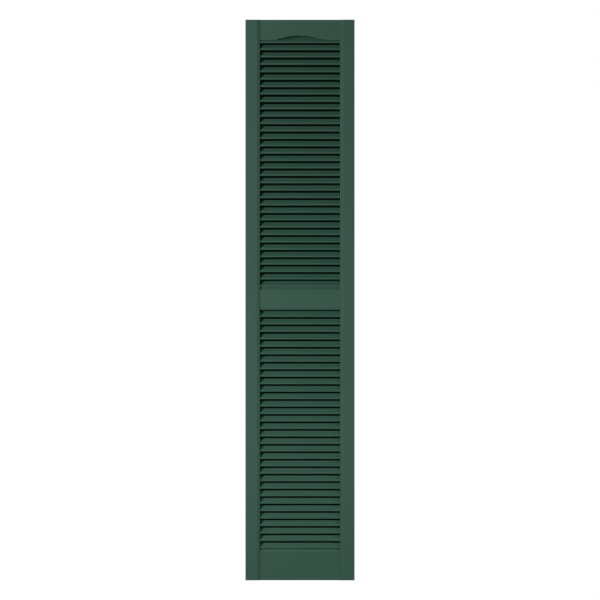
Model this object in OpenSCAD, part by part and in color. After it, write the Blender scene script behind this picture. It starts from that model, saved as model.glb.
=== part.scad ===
// Louvred exterior shutter, moulded in one piece with an open, hollow back.
// X runs across the width, the face looks along -Y, and Z is up.
// The origin is at the middle of the bottom edge, in the plane that meets the wall.

/* [Panel] */
// Width over both stiles
panel_w = 371.5; // [340:0.5:420]
// Height of the panel
panel_h = 1905; // [1850:5:2000]
// Depth from the wall to the face of the stiles
panel_d = 26; // [25:0.5:30]
// Thickness of the moulded walls
wall = 2.4; // [2:0.1:2.6]
// How far the outer walls lean in from back to front, so that the mould lets go
draft = 0.5; // [0.2:0.1:0.8]
// Radius of the outer edge of the face
edge_r = 1; // [0.5:0.5:3]
// Radius of the panel's four corners, seen from the front
corner_r = 3; // [2:0.5:6]

/* [Stiles] */
// Width of a stile, from its outer edge to the louvres
stile_w = 49; // [44:1:60]
// Width of the margin that slopes down to the inner edge of a stile
margin_w = 10.2; // [8:0.2:16]
// How far the margin falls by that edge
margin_drop = 1.4; // [0.6:0.1:1.5]
// Distance of the fine line in the margin from the inner edge
line_x = 5; // [3:0.5:6]
// Depth of the fine line
line_depth = 1; // [0.2:0.1:1]
// Number of cross ribs inside each stile
stile_ribs = 13; // [4:1:20]

/* [Rails] */
// Height of the top rail, down to the underside of its louvre nose
top_rail_h = 79.3; // [72:0.1:100]
// Height of the strip of slope between the top rail's face and that nose
top_strip_h = 4.4; // [4:0.2:6]
// Height of the middle rail, from the nose above it down to its own lower edge
mid_rail_h = 78.2; // [50:0.2:110]
// Height of the rounding along the lower edge of the middle rail's face
mid_edge_h = 12; // [6:1:16]
// Depth of that rounding
mid_edge_d = 2.6; // [1:0.2:4]
// Height of the middle of the middle rail above the bottom edge
mid_rail_z = 958.1; // [940:0.1:980]
// Height of the bottom rail, up to the nose of the lowest louvre
bottom_rail_h = 108; // [60:0.2:130]
// How far the rails' faces lie behind the face of the stiles
rail_drop = 3; // [2.8:0.1:3.2]
// Radius along the lower edge of the top rail's face
top_edge_r = 4; // [3.5:0.5:4.5]
// Height of the slope along the top of a rail
rail_slope_h = 6.8; // [4:0.2:10]
// Depth of the slope along the top of a rail
rail_slope_d = 4.4; // [3:0.2:5]
// Height of the groove between that slope and the lowest louvre nose
groove_h = 3.4; // [2:0.2:5]
// Depth of the ledge in the foot of the groove
ledge_d = 0.8; // [0.4:0.2:3]
// Number of upright ribs inside each rail
rail_ribs = 3; // [1:1:5]

/* [Arch] */
// Rise of the arch in the top rail
arch_h = 15; // [10:1:18]
// Half of the arch's width, out to where its flares end
arch_half_w = 88; // [80:1:95]
// Radius of the flare at each foot of the arch
flare_r = 50; // [40:1:60]

/* [Louvres] */
// Number of louvres above the middle rail
upper_louvres = 33; // [30:1:34]
// Number of louvres below the middle rail
lower_louvres = 32; // [30:1:33]
// Height of a louvre's upright nose
nose_h = 4.8; // [4:0.2:5.4]
// Height of the open slot under each nose
slot_h = 6.8; // [5:0.2:8]
// How much less height the first slot under a rail has than the others
first_slot_less = 1.3; // [0:0.1:2]
// How far a louvre runs back from its nose
louvre_d = 12.5; // [10:0.5:14]
// How much further the two louvres beside the middle rail run back
beside_rail_d = 1.3; // [0:0.1:2]
// Thickness of a louvre
louvre_t = 2.5; // [2:0.1:3]
// How far the noses lie behind the face of the stiles
nose_drop = 3.6; // [3.2:0.1:4]

/* [Hidden] */

// Cuts run this far past the faces they open
over = 2;
// Joined shapes run this far into each other
bite = 0.6;
// Thickness of the ribs, and how far they stop short of the wall
rib_t = 2;
rib_gap = 2;
// Radii on a louvre's nose and on the inner edge of a stile
nose_top_r = 1.5;
nose_bottom_r = 1;
inner_edge_r = 1;
// Flats along each small rounded edge, and sides of each full circle
edge_steps = 5;
round_sides = 96;

half_w = panel_w / 2;
field_half_w = half_w - stile_w;
face_y = -panel_d;
rail_y = face_y + rail_drop;
nose_y = face_y + nose_drop;
crest_x = field_half_w + margin_w;

// Depth of the top of a rail's slope, and of the back of the groove over it
slope_back_y = rail_y + rail_slope_d;
groove_y = slope_back_y + ledge_d;

// Head of each louvre field, and the underside of the nose at its foot
upper_head_z = panel_h - top_rail_h;
upper_foot_z = mid_rail_z + mid_rail_h / 2;
lower_head_z = mid_rail_z - mid_rail_h / 2;
lower_foot_z = bottom_rail_h;
// Lower edge of the top rail's face
top_rail_z = upper_head_z + nose_h + top_strip_h;

// The louvres of each field are counted down from here, one pitch apart
upper_start_z = upper_head_z + first_slot_less;
lower_start_z = lower_head_z + first_slot_less;
upper_pitch = (upper_start_z - upper_foot_z) / upper_louvres;
lower_pitch = (lower_start_z - lower_foot_z) / lower_louvres;

// The rounding along the middle rail's lower edge is part of a large arc
mid_edge_r = (pow(mid_edge_h, 2) + pow(mid_edge_d, 2)) / (2 * mid_edge_d);

// The arch is one large arc that meets the two flares without a kink
crown_r = (pow(arch_half_w, 2) + pow(arch_h, 2)) / (2 * arch_h) - flare_r;
crown_z = top_rail_z + arch_h - crown_r;
flare_z = top_rail_z + flare_r;
arch_turn = asin(arch_half_w / (crown_r + flare_r));
// How far the cut for the arch reaches down, past the foot of the arch
arch_reach = arch_h + 2 * over;

// Slope angle of the rail heads
head_angle = atan2(rail_slope_d, rail_slope_h);

function arc(centre, r, from, to) =
    [for (i = [0:edge_steps])
        let (a = from + (to - from) * i / edge_steps)
        centre + r * [cos(a), sin(a)]];

function mirrored(points) = [for (i = [len(points) - 1:-1:0]) [-points[i][0], points[i][1]]];

// Extrudes a (y, z) outline across the panel
module across(half_length) {
    translate([-half_length, 0, 0])
        rotate([90, 0, 90])
            linear_extrude(2 * half_length)
                children();
}

// Extrudes an (x, z) outline from front to back
module through(front, back) {
    translate([0, back, 0])
        rotate([90, 0, 0])
            linear_extrude(back - front)
                children();
}

// Level section of the outside: leaning sides and rounded face edges
module outer_section() {
    right = concat(
        arc([half_w - draft - edge_r, face_y + edge_r], edge_r, -90, 0),
        [[half_w, 0]]
    );
    polygon(concat(right, mirrored(right)));
}

// Upright section of the outside
module outer_side() {
    polygon(concat(
        [[0, 0]],
        arc([face_y + edge_r, draft + edge_r], edge_r, 270, 180),
        arc([face_y + edge_r, panel_h - draft - edge_r], edge_r, 180, 90),
        [[0, panel_h]]
    ));
}

// Front view of the outside
module outer_front() {
    top_z = panel_h - corner_r;
    right = concat(
        arc([half_w - corner_r, corner_r], corner_r, -90, 0),
        arc([half_w - corner_r, top_z], corner_r, 0, 90)
    );
    polygon(concat(right, mirrored(right)));
}

module envelope() {
    intersection() {
        linear_extrude(panel_h)
            outer_section();
        across(half_w)
            outer_side();
        through(face_y, 0)
            outer_front();
    }
}

// Depth of a stile's margin at the distance x from the middle of the panel
function margin_y(x) = face_y + margin_drop * (crest_x - x) / margin_w;

// What is taken off the face between the crests of the stiles: the margins, with a fine
// line in each, and the face of the rails
module face_relief() {
    edge_x = field_half_w + inner_edge_r;
    mid_x = field_half_w + line_x;
    line_half_w = line_depth * 0.8;
    right = concat(
        [[field_half_w, rail_y]],
        arc([edge_x, margin_y(edge_x) + inner_edge_r], inner_edge_r, 180, 270),
        [
            [mid_x - line_half_w, margin_y(mid_x - line_half_w)],
            [mid_x, margin_y(mid_x) + line_depth],
            [mid_x + line_half_w, margin_y(mid_x + line_half_w)],
            [crest_x, face_y],
            [crest_x, face_y - over]
        ]
    );
    translate([0, 0, -over])
        linear_extrude(panel_h + 2 * over)
            polygon(concat(right, mirrored(right)));
}

// Rounds the outer edge of the rails' faces, at the top and bottom of the panel
module rail_end_rounding() {
    start_y = rail_y - over;
    foot = concat(
        [[start_y, -over], [start_y, draft + edge_r]],
        arc([rail_y + edge_r, draft + edge_r], edge_r, 180, 270),
        [[rail_y + edge_r, -over]]
    );
    for (high = [0, 1])
        translate([0, 0, high * panel_h])
            mirror([0, 0, high])
                across(field_half_w)
                    polygon(foot);
}

// Sweeps a section along the arch and its flares. The section's origin runs along the lower edge
// of the rail's face, the rail is at its +X, and the wall is at its +Y
module along_arch() {
    translate([0, rail_y, crown_z])
        rotate([-90, 0, 0])
            rotate([0, 0, -90 - arch_turn])
                rotate_extrude(angle = 2 * arch_turn, $fn = 2 * round_sides)
                    translate([crown_r, 0])
                        children();
    for (side = [0, 1])
        mirror([side, 0, 0])
            translate([arch_half_w, rail_y, flare_z])
                rotate([-90, 0, 0])
                    rotate([0, 0, 90])
                        rotate_extrude(angle = arch_turn, $fn = round_sides)
                            translate([flare_r, 0])
                                mirror([1, 0, 0])
                                    children();
}

// Space under the arch, from front to back of it and up to the given distance into the rail
module arch_space(grow) {
    along_arch()
        translate([-arch_reach, -over])
            square([arch_reach + grow, 2 * over - rail_y]);
}

// Cutter section that rounds the lower edge of the top rail's face and opens what is behind it
module edge_cutter(reach, depth) {
    polygon(concat(
        [[-reach, -over], [top_edge_r, -over]],
        arc([top_edge_r, top_edge_r], top_edge_r, 270, 180),
        [[0, depth], [-reach, depth]]
    ));
}

// Cuts the opening under the arch and rounds its edge
module arch_cut() {
    along_arch()
        edge_cutter(arch_reach, over - rail_y);
}

// Rounds the straight lower edge of the top rail's face, from x0 to x1
module top_edge_rounding(x0, x1) {
    translate([x0, rail_y, top_rail_z])
        rotate([90, 0, 90])
            linear_extrude(x1 - x0)
                mirror([1, -1, 0])
                    edge_cutter(over, top_edge_r + over);
}

// Rounds the lower edge of the middle rail's face with a long, shallow arc
module mid_edge_rounding() {
    turn = asin(mid_edge_h / mid_edge_r);
    across(field_half_w)
        polygon(concat(
            [[face_y - over, lower_head_z - over], [face_y - over, lower_head_z + mid_edge_h]],
            arc([rail_y + mid_edge_r, lower_head_z + mid_edge_h], mid_edge_r, 180, 180 + turn),
            [[rail_y + mid_edge_d, lower_head_z - over]]
        ));
}

// Opening of a louvre field: a straight head and, at the foot, the sloped top of the rail below
module field_opening(head_z, foot_z) {
    slope_top = foot_z - groove_h;
    slope_foot = slope_top - rail_slope_h;
    across(field_half_w)
        polygon([
            [face_y - over, slope_foot],
            [rail_y, slope_foot],
            [slope_back_y, slope_top],
            [groove_y, slope_top],
            [groove_y, foot_z],
            [over, foot_z],
            [over, head_z],
            [face_y - over, head_z]
        ]);
}

// Hollow of one stile, open at the back, with its cross ribs left standing
module stile_hollow() {
    inner_x = field_half_w + wall;
    outer_x = half_w - wall;
    difference() {
        translate([0, 0, wall])
            linear_extrude(panel_h - 2 * wall)
                polygon([
                    [inner_x, over],
                    [inner_x, margin_y(inner_x) + wall],
                    [crest_x, face_y + wall],
                    [outer_x - draft, face_y + wall],
                    [outer_x, over]
                ]);
        for (i = [1:stile_ribs])
            translate([0, face_y, i * panel_h / (stile_ribs + 1) - rib_t / 2])
                cube([half_w, panel_d - rib_gap, rib_t]);
    }
}

// Upright ribs that stand in the hollow of a rail
module rail_rib_row() {
    for (i = [1:rail_ribs])
        translate([field_half_w * (2 * i / (rail_ribs + 1) - 1) - rib_t / 2, face_y, 0])
            cube([rib_t, panel_d - rib_gap, panel_h]);
}

// Hollow of a rail under a louvre field, from foot_z down to the rail's lower wall. Where the
// lower edge of its face is rounded, the hollow steps back by the same height and depth
module rail_hollow(foot_z, lower_z, edge_h = 0, edge_d = 0) {
    shift = wall * tan(head_angle / 2);
    ledge_shift = wall * tan(45 - head_angle / 2);
    slope_top = foot_z - groove_h;
    slope_foot = slope_top - rail_slope_h;
    lower_edge = edge_h > 0 ? [[rail_y + wall, lower_z + edge_h]] : [];
    difference() {
        across(field_half_w)
            polygon(concat(
                [
                    [over, foot_z - wall],
                    [groove_y + wall, foot_z - wall],
                    [groove_y + wall, slope_top - wall],
                    [slope_back_y + ledge_shift, slope_top - wall],
                    [rail_y + wall, slope_foot - shift]
                ],
                lower_edge,
                [[rail_y + wall + edge_d, lower_z + wall], [over, lower_z + wall]]
            ));
        rail_rib_row();
    }
}

// Hollow of the top rail, which follows the arch
module top_rail_hollow() {
    foot_z = top_rail_z + wall;
    difference() {
        translate([-field_half_w, rail_y + wall, foot_z])
            cube([2 * field_half_w, over - rail_y - wall, panel_h - wall - foot_z]);
        arch_space(wall);
        rail_rib_row();
    }
}

// Stiles and rails: one shell, open at the back
module frame_shell() {
    difference() {
        envelope();
        face_relief();
        rail_end_rounding();
        field_opening(top_rail_z, upper_foot_z);
        field_opening(lower_head_z, lower_foot_z);
        arch_cut();
        top_edge_rounding(arch_half_w, field_half_w);
        top_edge_rounding(-field_half_w, -arch_half_w);
        mid_edge_rounding();
        stile_hollow();
        mirror([1, 0, 0])
            stile_hollow();
        top_rail_hollow();
        rail_hollow(upper_foot_z, lower_head_z, mid_edge_h, mid_edge_d);
        rail_hollow(lower_foot_z, 0);
    }
}

function louvre_angle(pitch) = atan2(pitch - slot_h - nose_h, louvre_d);

// Height of a louvre's upper surface above the underside of its nose, at depth y
function louvre_top(pitch, y) = nose_h + (y - nose_y) * tan(louvre_angle(pitch));

// Section of a louvre from the underside of its nose back to y_end: an upright nose and a slope
module louvre_section(pitch, y_end) {
    angle = louvre_angle(pitch);
    drop = louvre_t / cos(angle);
    turn = 90 - angle;
    heel_y = nose_y + louvre_t;
    top_r_z = nose_h - nose_top_r * tan(turn / 2);
    polygon(concat(
        [[heel_y, 0]],
        arc([nose_y + nose_bottom_r, nose_bottom_r], nose_bottom_r, 270, 180),
        arc([nose_y + nose_top_r, top_r_z], nose_top_r, 180, 180 - turn),
        [
            [y_end, louvre_top(pitch, y_end)],
            [y_end, louvre_top(pitch, y_end) - drop],
            [heel_y, louvre_top(pitch, heel_y) - drop]
        ]
    ));
}

// A field of louvres, counted down from start_z. The louvre numbered beside_rail runs further
// back than the others
module louvres(count, pitch, start_z, beside_rail) {
    for (i = [1:count])
        translate([0, 0, start_z - i * pitch])
            across(field_half_w + bite)
                louvre_section(pitch, nose_y + louvre_d + (i == beside_rail ? beside_rail_d : 0));
}

// Solid step that ties the lowest louvre to the rail under it
module louvre_foot(pitch, foot_z) {
    half_drop = louvre_t / cos(louvre_angle(pitch)) / 2;
    front = nose_y + louvre_t / 2;
    back = groove_y + wall;
    translate([0, 0, foot_z])
        across(field_half_w + bite)
            polygon([
                [front, 0],
                [front, louvre_top(pitch, front) - half_drop],
                [back, louvre_top(pitch, back) - half_drop],
                [back, -bite],
                [groove_y, -bite],
                [groove_y, 0]
            ]);
}

// Nose under the top rail, and the slope that rises to fill the arch
module arch_lip() {
    lip_rise = top_strip_h + arch_h + wall;
    lip_end = nose_y + lip_rise / tan(louvre_angle(upper_pitch));
    flat_h = nose_h + top_strip_h + wall / 2;
    intersection() {
        translate([0, 0, upper_head_z])
            across(field_half_w + bite)
                louvre_section(upper_pitch, lip_end);
        union() {
            translate([-half_w, face_y, upper_head_z])
                cube([panel_w, panel_d, flat_h]);
            arch_space(wall / 2);
        }
    }
}

module shutter_panel() {
    color([0.22, 0.33, 0.28])
        union() {
            frame_shell();
            louvres(upper_louvres, upper_pitch, upper_start_z, upper_louvres);
            louvres(lower_louvres, lower_pitch, lower_start_z, 1);
            louvre_foot(upper_pitch, upper_foot_z);
            louvre_foot(lower_pitch, lower_foot_z);
            arch_lip();
        }
}

shutter_panel();
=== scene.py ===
# %% [markdown]
# # An exterior louvred shutter in Blender
# The shutter is a single plastic moulding: two stiles, three rails and sixty-five louvres that left
# the mould together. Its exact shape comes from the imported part. What is added here is
# everything that a drawing can't say: the finish, the light, and the place it is seen from.
#
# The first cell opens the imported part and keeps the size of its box, because the finished
# model has to stay inside it.

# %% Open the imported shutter
import math

import bpy
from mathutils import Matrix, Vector


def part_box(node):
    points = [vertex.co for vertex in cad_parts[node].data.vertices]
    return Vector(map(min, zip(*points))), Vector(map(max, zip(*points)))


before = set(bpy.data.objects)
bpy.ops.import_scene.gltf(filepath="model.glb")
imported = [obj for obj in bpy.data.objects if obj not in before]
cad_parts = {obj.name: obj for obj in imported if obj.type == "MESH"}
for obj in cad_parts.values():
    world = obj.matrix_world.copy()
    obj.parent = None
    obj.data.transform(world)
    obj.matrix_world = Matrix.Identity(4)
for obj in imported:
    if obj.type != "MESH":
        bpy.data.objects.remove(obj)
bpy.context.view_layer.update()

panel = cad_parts["shutter_panel"]
low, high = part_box("shutter_panel")
size = high - low
middle = (low + high) / 2
print(f"shutter: {size.x * 1000:.0f} wide, {size.y * 1000:.0f} deep, {size.z * 1000:.0f} mm high")

# %% [markdown]
# ## Where the eye stands
# A tall, flat thing is best judged square on. The camera is six metres in front, level with the
# middle of the shutter, so the two sides look parallel and the slots are seen from slightly above
# at the bottom and from slightly below at the top. The lens is worked out from the height of the
# shutter and the share of the square picture that it fills.

# %% Camera
EYE_DISTANCE = 6.0
SENSOR_MM = 36.0
HEIGHT_SHARE = 560.8 / 600
EDGE_ROUNDING = 0.001

eye_z = middle.z
face_height = size.z - EDGE_ROUNDING
lens_mm = SENSOR_MM * HEIGHT_SHARE * EYE_DISTANCE / face_height

camera_data = bpy.data.cameras.new("front_camera")
camera_data.sensor_width = SENSOR_MM
camera_data.lens = lens_mm
camera = bpy.data.objects.new("front_camera", camera_data)
camera.location = (middle.x, low.y - EYE_DISTANCE, eye_z)
camera.rotation_euler = (math.radians(90), 0, 0)
bpy.context.scene.collection.objects.link(camera)
bpy.context.scene.camera = camera
print(f"lens {lens_mm:.1f} mm, eye at {eye_z:.3f} m")

# %% [markdown]
# ## Small helpers for materials
# Every finish below is a net of shader nodes. A few helpers keep the cells short: they start an
# empty material, add a node and fill in its sockets, do a sum on numbers, and blend two things.

# %% Node helpers
def new_material(name):
    material = bpy.data.materials.new(name)
    material.use_nodes = True
    material.node_tree.nodes.clear()
    return material, material.node_tree


def add(tree, kind, settings=None, **sockets):
    """Adds a node, sets its own settings, and fills sockets given by name."""
    node = tree.nodes.new(kind)
    for name, value in (settings or {}).items():
        setattr(node, name, value)
    for name, value in sockets.items():
        target = node.inputs[name.replace("_", " ")]
        if isinstance(value, bpy.types.NodeSocket):
            tree.links.new(value, target)
        else:
            target.default_value = value
    return node


def calc(tree, operation, first, second=0.0):
    """One sum on numbers: a Math node with its two inputs."""
    node = add(tree, "ShaderNodeMath", {"operation": operation})
    for slot, value in zip(node.inputs, (first, second)):
        if isinstance(value, bpy.types.NodeSocket):
            tree.links.new(value, slot)
        else:
            slot.default_value = value
    return node.outputs[0]


def blend(tree, kind, share, first, second, slots=(0, 1, 2)):
    """A mixing node that gives first where share is 0, and second where share is 1."""
    node = add(tree, kind)
    for slot, source in zip(slots, (share, first, second)):
        tree.links.new(source, node.inputs[slot])
    return node.outputs[0]

# %% [markdown]
# ## The embossed grain
# The steel of the mould is etched with a wood grain, so the plastic looks like painted cedar. On
# the stiles the grain runs up, and on the rails and louvres it runs across, as the boards of a
# joined shutter would. The same noise is stretched along one direction for the stiles and along
# the other for the rest, and a plain test on the distance from the middle picks between the two.

# %% Grain
STILE_WIDTH = 0.049

opening_half = size.x / 2 - STILE_WIDTH


def stretched_noise(tree, place, stretch, detail, roughness):
    mapped = add(tree, "ShaderNodeMapping", Vector=place, Scale=stretch)
    return add(tree, "ShaderNodeTexNoise", Vector=mapped.outputs["Vector"], Scale=1.0, Detail=detail,
               Roughness=roughness).outputs["Fac"]


def grain(tree, place, on_stile, across, along, detail=3.0, roughness=0.55):
    """Noise with its long direction up the stiles and across everything else. Sizes in metres."""
    upright = stretched_noise(tree, place, (1 / across, 1 / across, 1 / along), detail, roughness)
    level = stretched_noise(tree, place, (1 / along, 1 / across, 1 / across), detail, roughness)
    return blend(tree, "ShaderNodeMix", on_stile, level, upright, slots=(0, 2, 3))

# %% [markdown]
# ## Green moulded plastic
# The colour goes all through the plastic, so there is no paint to chip. All that varies is a slow drift in
# the green, where the melt flowed and cooled at its own pace, and a slightly deeper green in the hollows of
# the broad grain wave. Two greens that are nearly the same are mixed by the drift and by that wave.

# %% Green
GREEN_DEEP = (0.0205, 0.0650, 0.0435, 1.0)
GREEN_PALE = (0.0235, 0.0715, 0.0480, 1.0)
DRIFT_SCALE = 5.0
BROAD_SHARE = 0.5

plastic, tree = new_material("green_plastic_etched")
place = add(tree, "ShaderNodeTexCoord").outputs["Object"]
from_middle = calc(tree, "ABSOLUTE", add(tree, "ShaderNodeSeparateXYZ", Vector=place).outputs["X"])
on_stile = calc(tree, "GREATER_THAN", from_middle, opening_half)
broad = grain(tree, place, on_stile, across=0.006, along=0.160, detail=2.0)
drift = add(tree, "ShaderNodeTexNoise", Vector=place, Scale=DRIFT_SCALE, Detail=2.0, Roughness=0.5)

tone = calc(tree, "ADD", calc(tree, "MULTIPLY", drift.outputs["Fac"], 1 - BROAD_SHARE),
            calc(tree, "MULTIPLY", broad, BROAD_SHARE))
green = add(tree, "ShaderNodeMix", {"data_type": "RGBA"})
tree.links.new(tone, green.inputs[0])
green.inputs[6].default_value = GREEN_DEEP
green.inputs[7].default_value = GREEN_PALE
print(f"grain turns upright {opening_half * 1000:.1f} mm from the middle")

# %% [markdown]
# The grain is a real relief, about a tenth of a millimetre deep: fine pores that lie close
# together, over a broad, soft wave. To cut it into the mesh would take millions of faces, so a
# bump does it. The crests of the wave are rubbed a little smoother than the hollows. The sheen is
# broad, weak and white, as on any plastic with an etched face.

# %% Relief and sheen
PORE_EDGES = (0.36, 0.50)
PORE_DEPTH, WAVE_DEPTH = 0.55, 0.9
GRAIN_DEPTH, GRAIN_STRENGTH = 0.00022, 0.55
ROUGH_HOLLOW, ROUGH_CREST = 0.64, 0.56

fine = grain(tree, place, on_stile, across=0.0012, along=0.040)
pores = add(tree, "ShaderNodeMapRange", {"interpolation_type": "SMOOTHSTEP"}, Value=fine,
            From_Min=PORE_EDGES[0], From_Max=PORE_EDGES[1])
relief = calc(tree, "ADD", calc(tree, "MULTIPLY", pores.outputs["Result"], PORE_DEPTH),
              calc(tree, "MULTIPLY", broad, WAVE_DEPTH))
bump = add(tree, "ShaderNodeBump", Strength=GRAIN_STRENGTH, Distance=GRAIN_DEPTH, Height=relief)
matt = add(tree, "ShaderNodeMapRange", Value=broad, From_Min=0.3, From_Max=0.7,
           To_Min=ROUGH_HOLLOW, To_Max=ROUGH_CREST)

shader = add(tree, "ShaderNodeBsdfPrincipled", Roughness=matt.outputs["Result"],
             Normal=bump.outputs["Normal"])
tree.links.new(green.outputs[2], shader.inputs["Base Color"])
shader.inputs["IOR"].default_value = 1.48
shader.inputs["Specular IOR Level"].default_value = 0.36
add(tree, "ShaderNodeOutputMaterial", Surface=shader.outputs["BSDF"])

for slot in panel.material_slots:
    slot.material = plastic
print(f"finish: {plastic.name}, {len(tree.nodes)} nodes")

# %% [markdown]
# ## What stands behind the slots
# On a house the wall is close behind the open slots, and it is in deep shade, so the slots look
# almost black from the street. The wall isn't part of the shutter. In its place a dark card lies
# just inside the back rim, where only the slots can show it. It has one side only: seen from
# behind it is clear, so that the ribs stay in view. It casts no shadow and brightens nothing, but
# the plastic does mirror it, as it would mirror a dark wall.

# %% Shade behind the slots
CARD_INSET = 0.001
CARD_MARGIN = 0.004
SHADED_WALL = (0.0010, 0.0045, 0.0026, 1.0)

card_y = high.y - CARD_INSET
card_half_width = size.x / 2 - CARD_MARGIN
card_foot, card_top = low.z + CARD_MARGIN, high.z - CARD_MARGIN


def stage_sheet(name, corners, finish, hidden_from):
    """A flat, one-faced sheet, a separate object and not part of the shutter."""
    mesh = bpy.data.meshes.new(name)
    mesh.from_pydata(corners, [], [tuple(range(len(corners)))])
    mesh.materials.append(finish)
    sheet = bpy.data.objects.new(name, mesh)
    bpy.context.scene.collection.objects.link(sheet)
    for ray in hidden_from:
        setattr(sheet, f"visible_{ray}", False)
    print(f"{name}: faces {[round(c, 2) for c in mesh.polygons[0].normal]}")


shade, tree = new_material("shaded_wall")
from_behind = add(tree, "ShaderNodeNewGeometry").outputs["Backfacing"]
# The card's dark green is painted shade: it glows faintly in the colour of a wall in deep shade.
dark = add(tree, "ShaderNodeEmission", Color=SHADED_WALL, Strength=1.0)
clear = add(tree, "ShaderNodeBsdfTransparent")
one_sided = blend(tree, "ShaderNodeMixShader", from_behind, dark.outputs[0], clear.outputs[0])
add(tree, "ShaderNodeOutputMaterial", Surface=one_sided)

stage_sheet("wall_shade",
            [(-card_half_width, card_y, card_foot), (card_half_width, card_y, card_foot),
             (card_half_width, card_y, card_top), (-card_half_width, card_y, card_top)],
            shade, hidden_from=("diffuse", "transmission", "shadow"))

# %% [markdown]
# ## Floor
# The floor is a plain pale disc, half a metre below the shutter, which hangs at window height. It
# fades out to the white of the backdrop toward its rim, so no edge shows when the shutter is
# seen from above, and it is clear from below, so that it never hides the shutter.

# %% Floor
FLOOR_DROP = 0.5
FLOOR_RADIUS = 2.0
FLOOR_PLAIN_RADIUS = 0.6
FLOOR_SIDES = 128
FLOOR_GREY = (0.77, 0.77, 0.77, 1.0)

pale_floor, tree = new_material("pale_floor")
geometry = add(tree, "ShaderNodeNewGeometry")
on_floor = add(tree, "ShaderNodeVectorMath", {"operation": "MULTIPLY"})
tree.links.new(geometry.outputs["Position"], on_floor.inputs[0])
on_floor.inputs[1].default_value = (1.0, 1.0, 0.0)
radius = add(tree, "ShaderNodeVectorMath", {"operation": "LENGTH"})
tree.links.new(on_floor.outputs["Vector"], radius.inputs[0])
fade = add(tree, "ShaderNodeMapRange", {"interpolation_type": "SMOOTHSTEP"}, Value=radius.outputs["Value"],
           From_Min=FLOOR_PLAIN_RADIUS, From_Max=FLOOR_RADIUS)
unseen = calc(tree, "MAXIMUM", fade.outputs["Result"], geometry.outputs["Backfacing"])

paint = add(tree, "ShaderNodeBsdfPrincipled", Roughness=0.7)
paint.inputs["Base Color"].default_value = FLOOR_GREY
clear = add(tree, "ShaderNodeBsdfTransparent")
fading = blend(tree, "ShaderNodeMixShader", unseen, paint.outputs[0], clear.outputs[0])
add(tree, "ShaderNodeOutputMaterial", Surface=fading)

turns = [math.tau * i / FLOOR_SIDES for i in range(FLOOR_SIDES)]
rim = [(FLOOR_RADIUS * math.cos(turn), FLOOR_RADIUS * math.sin(turn), low.z - FLOOR_DROP) for turn in turns]
stage_sheet("floor", rim, pale_floor, hidden_from=("diffuse", "glossy", "shadow"))

# %% [markdown]
# ## Light
# The key is a soft box well round to the left, about as high as the shutter's head. From there the left
# stile throws its shadow on the ends of the louvres, and the upright lines in the margins show.
# The louvres' slopes face up: near the head the light skims them, near the foot it comes down
# on them, and so they grow brighter from top to bottom. A weak box on the right fills the
# shadows, and two small ones beside the foot brighten the lower louvres. The last stands
# behind, for the views of the ribbed back.

# %% Lights
def soft_box(name, turn, distance, height, aim, side, watts):
    """A square lamp. turn is in degrees from straight in front, to the left when positive."""
    data = bpy.data.lights.new(name, "AREA")
    data.size = side
    data.energy = watts
    angle = math.radians(turn)
    place = Vector((-distance * math.sin(angle), -distance * math.cos(angle), height))
    lamp = bpy.data.objects.new(name, data)
    lamp.location = place
    lamp.rotation_euler = (Vector((0, 0, aim)) - place).to_track_quat("-Z", "Y").to_euler()
    bpy.context.scene.collection.objects.link(lamp)
    print(f"{name}: {watts} W at {distance} m")


HEAD_HEIGHT, MIDDLE_HEIGHT, FOOT_HEIGHT = 1.85, 0.9, 0.35

soft_box("key", turn=50, distance=4.0, height=HEAD_HEIGHT, aim=MIDDLE_HEIGHT, side=0.7, watts=206)
soft_box("right_fill", turn=-42, distance=4.0, height=HEAD_HEIGHT, aim=MIDDLE_HEIGHT, side=0.7, watts=20)
soft_box("foot_right", turn=-65, distance=1.5, height=FOOT_HEIGHT, aim=FOOT_HEIGHT, side=0.4, watts=10)
soft_box("foot_left", turn=38, distance=1.3, height=FOOT_HEIGHT, aim=FOOT_HEIGHT, side=0.35, watts=3.6)
soft_box("back_fill", turn=180, distance=4.2, height=3.6, aim=MIDDLE_HEIGHT, side=2.0, watts=260)

# %% [markdown]
# The backdrop is plain white to the eye, but gives only a little light to the shutter. Without
# that difference white light would pour in from every side and wash out the shadows in the slots.

# %% Backdrop
BACKDROP_LIGHT = 0.035
WHITE = (1, 1, 1, 1)

world = bpy.data.worlds.new("white_backdrop")
world.use_nodes = True
tree = world.node_tree
tree.nodes.clear()
seen = add(tree, "ShaderNodeBackground", Color=WHITE, Strength=1.0)
felt = add(tree, "ShaderNodeBackground", Color=WHITE, Strength=BACKDROP_LIGHT)
straight_to_eye = add(tree, "ShaderNodeLightPath").outputs["Is Camera Ray"]
backdrop = blend(tree, "ShaderNodeMixShader", straight_to_eye, felt.outputs[0], seen.outputs[0])
add(tree, "ShaderNodeOutputWorld", Surface=backdrop)
bpy.context.scene.world = world
bpy.context.scene.view_settings.view_transform = "Standard"
print(f"backdrop light {BACKDROP_LIGHT}")
